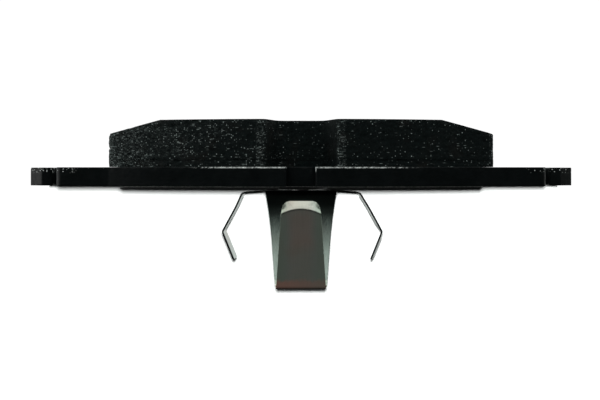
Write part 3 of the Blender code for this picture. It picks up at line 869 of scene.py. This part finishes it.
def make_rivets(material):
    """Each rivet from its sunk head down to the closed end under the clip, as a turned profile."""
    head_top, head_foot = PLATE_TOP_Z - 0.05, PLATE_TOP_Z - 1.85
    shoulder, closed_top = HUB_Z + SHEET / 2 + 0.05, HUB_Z - SHEET / 2 - 0.05
    profile = [(0, head_top), (3.8, head_top), (4.0, head_top - 0.2), (4.0, head_foot + 0.1),
               (3.9, head_foot), (2.7, head_foot), (2.7, shoulder), (1.8, shoulder), (1.8, closed_top),
               (3.05, closed_top), (3.2, closed_top - 0.12)]
    for step in range(1, 14):
        angle = step * math.pi / 28
        profile.append((3.2 * math.cos(angle) ** 0.8, closed_top - 0.12 - 1.0 * math.sin(angle)))
    profile += [(0.75, closed_top - 1.14), (0.6, closed_top - 1.0), (0.0, closed_top - 0.96)]
    for node, v in zip(("rivet_rim_side", "rivet_foot_side"), RIVETS_V):
        shell = Shell()
        rings = [shell.ring(circle(0, v, max(radius, 0.02), 72), z) for radius, z in profile]
        for above, below in zip(rings, rings[1:]):
            shell.join(above, below)
        shell.cap([rings[0]])
        shell.cap([rings[-1]])

        def depth(points, normals):
            return np.maximum(0.012 + 0.012 * noise(points, 0.8, 71), 0) * (points[:, 2] < closed_top)

        obj = shell.build(node + "_turned", material, depth=depth, sharp=40.0)
        finish_piece(obj, node)


def wing_z(u):
    """Height of the sheet's middle at the hub's wings, which fall a little towards the arms."""
    return HUB_Z - (u - HUB_HALF) * WING_FALL


def make_hub(material, cut):
    """The flat hub under the two rivets, with its wings up to where the arms' sheet takes over."""
    half = [
        (HUB_HALF, 9.0, 0), (HUB_HALF, ARM_HALF, 2.6), (WING_END, ARM_HALF, 0), (WING_END, -ARM_HALF, 0),
        (8.5, -ARM_HALF, 2.0), (7.5, -10.0, 2.5),
    ]
    loop = even(rounded(mirrored(half)), 0.25)
    for x, v in ((HUB_HALF, 9.0), (WING_END, ARM_HALF), (WING_END, -ARM_HALF)):
        for side in (-x, x):
            near = np.argmin(np.hypot(loop[:, 0] - side, loop[:, 1] - v))
            loop[near] = (side, v)
    shell = Shell()
    low, high = wall(shell, loop, HUB_Z - SHEET / 2, HUB_Z + SHEET / 2, 0.06, 0.06, 3, steps=2)
    holes_low, holes_high = drill(shell, HUB_HOLE, HUB_Z - SHEET / 2, HUB_Z + SHEET / 2)
    shell.cap([low, *holes_low], HUB_Z - SHEET / 2, 0.8, seed=8)
    shell.cap([high, *holes_high], HUB_Z + SHEET / 2, 0.8, seed=9)
    points = np.concatenate(shell.points)
    points[:, 2] -= np.maximum(np.abs(points[:, 0]) - HUB_HALF, 0) * WING_FALL
    shell.points = [points]
    uv = np.column_stack([points[:, 0], points[:, 1]])
    obj = shell.build("clip_hub_sheet", material, sharp=50.0, uv=uv)
    obj.data.materials.append(cut)
    upright = np.zeros(len(obj.data.polygons) * 3)
    obj.data.polygons.foreach_get("normal", upright)
    on_edge = np.abs(upright.reshape(-1, 3)[:, 2]) < 0.7
    obj.data.polygons.foreach_set("material_index", on_edge.astype(np.int32))
    finish_piece(obj, "clip_hub")


def finish_piece(obj, node, body="pad"):
    """Ties a piece to its body, if it has one, and hides the node that it replaces."""
    if body is not None:
        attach(obj, body)
    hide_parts(node)


def make_arms(material, cut):
    """The two side arms. The right one is twisted below its knee, as hand-set arms are."""
    root_z = wing_z(WING_END)
    corner, knee, tip = (16.85, wing_z(16.85), 1.2), (22.9, -31.0, 0.9), (19.65, -39.0, 0)
    path = rounded([(WING_END, root_z, 0), corner, knee, tip], closed=False)
    for side, body, turn, sign, front, twist in (
        ("right", "right_arm", 0.0, 1, 0.33, 0.15), ("left", "left_arm", math.pi, -1, -0.34, 0.018),
    ):
        def bend(u, across, z, share):
            """front shifts the arm's sheet outwards. twist swings it about its rim-side edge."""
            swing = twist * smooth_step(0.5, 0.75, share)
            return u + (front + (across + sign * ARM_HALF) * swing) * smooth_step(0.0, 0.3, share), across, z

        def half(share):
            tip = max(0.0, (share - 0.965) / 0.035)
            return ARM_HALF - 0.6 * (1 - math.sqrt(max(0.0, 1 - tip**2)))

        obj = sheet("clip_arm_%s_sheet" % side, path, half, material, 0.22, turn, bend, cut)
        finish_piece(obj, "clip_arm_" + side, body=None)
        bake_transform(obj)


def leg_u(z):
    """How far out the leg's sheet is at height z. It bows inwards a little half-way down."""
    share = (z - HUB_Z) / (FOLD_Z - HUB_Z)
    return LEG_ROOT_U + 6.0 * share - 2.36 * share * (1 - share)


def make_leg(material):
    """The wide leg that hangs from the hub's rim side."""
    hanging = [(leg_u(z), z, 0) for z in np.linspace(HUB_Z - 1.5, FOLD_HINGE_Z, 90)]
    path = rounded([(9.0, HUB_Z, 0), (LEG_ROOT_U, HUB_Z, 1.4)] + hanging, closed=False)

    def half(share):
        flare = max(0.0, 1 - share / 0.6)
        return min(HUB_HALF, 9.37 - 2.07 * share + 0.95 * flare**2)

    obj = sheet("clip_leg_sheet", path, half, material, 0.25, TOWARDS_RIM)
    finish_piece(obj, "clip_centre_leg", body=None)
    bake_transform(obj)


def make_tongue(material):
    """The hairpin's front leg: up from the fold, out to its knee, and back along a curved crease."""
    hinge_u = leg_u(FOLD_HINGE_Z)
    path = rounded([(hinge_u, FOLD_HINGE_Z, 0), (16.6, FOLD_Z, 1.05), (18.8, FOLD_Z, 1.05),
                    (22.8, -24.55, 1.1), (22.08, -21.75, 0)], closed=False)

    def half(share):
        tip = max(0.0, (share - 0.915) / 0.085)
        foot = 0.25 * max(0.0, 1 - share / 0.1)
        return 7.05 - 1.85 * share + foot - 2.0 * (1 - math.sqrt(max(0.0, 1 - tip**2)))

    def bend(u, across, z, share):
        near_knee = smooth_step(0.72, 0.86, share) * (1 - smooth_step(0.93, 1.0, share))
        return u, across, z + near_knee * (0.55 - 1.3 * (across / 5.2) ** 2)

    obj = sheet("clip_tongue_sheet", path, half, material, 0.2, TOWARDS_RIM, bend)
    finish_piece(obj, "clip_tongue", body=None)
    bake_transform(obj)


# ---------------------------------------------------------------- the set

def stage_plane(name, corners, material):
    """A flat piece of the set that only the camera sees."""
    mesh = bpy.data.meshes.new(name)
    mesh.from_pydata(corners, [], [(0, 1, 2, 3)])
    plane = place_object(name, mesh, material)
    plane.visible_glossy = False
    plane.visible_diffuse = False
    plane.visible_shadow = False
    return plane


def make_floor():
    """A plain pale floor, well below the pad."""
    n = material_nodes("floor")
    n.finish(colour=(0.85, 0.85, 0.85), roughness=0.9, specular=0.0)
    n.shader.inputs["Emission Color"].default_value = (1, 1, 1, 1)
    n.shader.inputs["Emission Strength"].default_value = 0.45
    side, z = 6.0, -0.16
    stage_plane("floor", [(-side, -side, z), (side, -side, z), (side, side, z), (-side, side, z)], n.owner)


def backdrop_material():
    """Matt grey that its lamp turns white. It is clear from behind, so that it hides nothing there."""
    n = material_nodes("backdrop")
    n.finish(colour=(0.35, 0.36, 0.355), roughness=0.9, specular=0.0)
    side, clear = n.add("ShaderNodeNewGeometry"), n.add("ShaderNodeBsdfTransparent")
    mix, out = n.add("ShaderNodeMixShader"), n.tree.nodes["Material Output"]
    n.link(side.outputs["Backfacing"], mix.inputs[0])
    n.link(n.shader.outputs[0], mix.inputs[1])
    n.link(clear.outputs[0], mix.inputs[2])
    n.link(mix.outputs[0], out.inputs["Surface"])
    return n.owner


def make_backdrop(name, material, depth, x_range, z_range, lamp):
    """A card that takes the pad's soft shadow, and the small lamp that only this card sees. All is metres.
    depth is y at x = 0 and how much of it is lost per x, which turns the card's back to a viewer at the
    right. lamp is its height above the viewpoint, its size and its power."""
    (y, slant), (x_from, x_to), (z_from, z_to) = depth, x_range, z_range
    left, right = y - slant * x_from, y - slant * x_to
    corners = [(x_from, left, z_from), (x_to, right, z_from), (x_to, right, z_to), (x_from, left, z_to)]
    card = stage_plane(name, corners, material)
    height, size, power = lamp
    softbox(name + "_lamp", (0, EYE_Y, EYE_Z + height), (0, 0.03, EYE_Z), (size, size), power, only=[card])
    return card


def make_backdrops():
    """One card under the middle of the plate, and three behind the clip."""
    white = backdrop_material()
    under, behind, leg_x, arm_x = (0.0105, 0.035), (0.03, 0.1), 0.0118, 0.032
    clip_z, plate_z = (-0.062, -0.0214), (-0.0214, -0.0179)
    plate_lamp, leg_lamp, arm_lamp = (0.0085, 0.0155, 3.7), (0.0060, 0.0078, 4.1), (0.0069, 0.0060, 3.5)
    return [
        make_backdrop("backdrop_plate", white, under, (-0.0768, 0.0768), plate_z, plate_lamp),
        make_backdrop("backdrop_leg", white, behind, (-leg_x, leg_x), clip_z, leg_lamp),
        make_backdrop("backdrop_left_arm", white, behind, (-arm_x, -leg_x), clip_z, arm_lamp),
        make_backdrop("backdrop_right_arm", white, behind, (leg_x, arm_x), clip_z, arm_lamp),
    ]


def make_world():
    """White behind the object. What the pad reflects is dim in front up to 20 degrees above the horizon and
    bright above that. Behind the pad it is bright down to a little below the horizon."""
    world = bpy.data.worlds.new("studio")
    bpy.context.scene.world = world
    n = Nodes(world)
    n.tree.nodes.clear()
    way = n.add("ShaderNodeTexCoord").outputs["Generated"]
    up = n.axis(way, "Z")
    height = n.times(n.plus(up, 1.0), 0.5)
    greys = [(0.0, 0.06), (0.04, 0.06), (0.08, 0.09), (0.26, 0.095), (0.34, 0.088), (0.5, 0.045),
             (0.676, 0.04), (0.689, 0.3), (0.70, 0.92), (0.75, 1.0), (1.0, 1.0)]
    front = n.ramp(height, [(place, (grey, grey * 1.02, grey)) for place, grey in greys])
    rear = n.mix(n.between(up, -0.2, -0.08), (0.008, 0.008, 0.008), (0.62, 0.66, 0.64))
    studio, white = n.add("ShaderNodeBackground"), n.add("ShaderNodeBackground")
    n.link(n.mix(n.between(n.axis(way, "Y"), -0.1, 0.6), front, rear), studio.inputs["Color"])
    white.inputs["Color"].default_value = (1, 1, 1, 1)
    white.inputs["Strength"].default_value = 1.05
    rays, mix = n.add("ShaderNodeLightPath"), n.add("ShaderNodeMixShader")
    n.link(rays.outputs["Is Camera Ray"], mix.inputs[0])
    n.link(studio.outputs[0], mix.inputs[1])
    n.link(white.outputs[0], mix.inputs[2])
    n.link(mix.outputs[0], n.add("ShaderNodeOutputWorld").inputs["Surface"])


def softbox(name, place, aim, size, power, only=None, never=None):
    """An area light. only lists the objects that it lights, never those that it leaves dark."""
    light = bpy.data.lights.new(name, "AREA")
    light.shape = "RECTANGLE"
    light.size, light.size_y = size
    light.energy = power
    lamp = bpy.data.objects.new(name, light)
    lamp.location = place
    lamp.rotation_euler = (Vector(aim) - Vector(place)).to_track_quat("-Z", "Y").to_euler()
    bpy.context.scene.collection.objects.link(lamp)
    group = bpy.data.collections.new(name + "_lights")
    for obj in only or never:
        group.objects.link(obj)
    lamp.light_linking.receiver_collection = group
    for entry in group.collection_objects:
        entry.light_linking.link_state = "INCLUDE" if only else "EXCLUDE"
    return lamp


def make_camera():
    """The photograph's viewpoint: level, in front of the pad's rim side."""
    data = bpy.data.cameras.new("camera")
    data.sensor_width = 36.0
    data.lens = 57.82
    data.shift_x = -0.0017
    data.shift_y = -0.0449
    data.clip_start = 0.01
    data.clip_end = 50.0
    camera = bpy.data.objects.new("camera", data)
    camera.location = (0, EYE_Y, EYE_Z)
    camera.rotation_euler = (math.pi / 2, 0, 0)
    bpy.context.scene.collection.objects.link(camera)
    bpy.context.scene.camera = camera


def main():
    make_compound(compound_material())
    make_bond(compound_material("bonding_compound", brown=0.5))
    make_plate(plate_material())
    make_shims(adhesive_material(), shim_steel_material(), rubber_material())
    make_rivets(rivet_material())
    steel = spring_material()
    cut = cut_edge_material()
    make_hub(steel, cut)
    make_arms(steel, cut)
    make_leg(spring_material("spring_steel_leg", leg_root_painted_shade))
    make_tongue(spring_material("spring_steel_tempered", tongue_tint))
    make_floor()
    cards = make_backdrops()
    make_world()
    softbox("left", (-0.55, -0.05, 0.10), (0, 0, -0.01), (0.5, 0.4), 1.2, never=cards)
    above = softbox("above", (-0.05, -0.30, 0.55), (0, 0, -0.01), (0.5, 0.35), 3.0, never=cards)
    above.visible_glossy = False
    softbox("right", (0.6, -0.1, 0.25), (0, 0, -0.01), (0.3, 0.3), 0.3, never=cards)
    make_camera()
    bpy.context.scene.view_settings.view_transform = "Standard"


main()
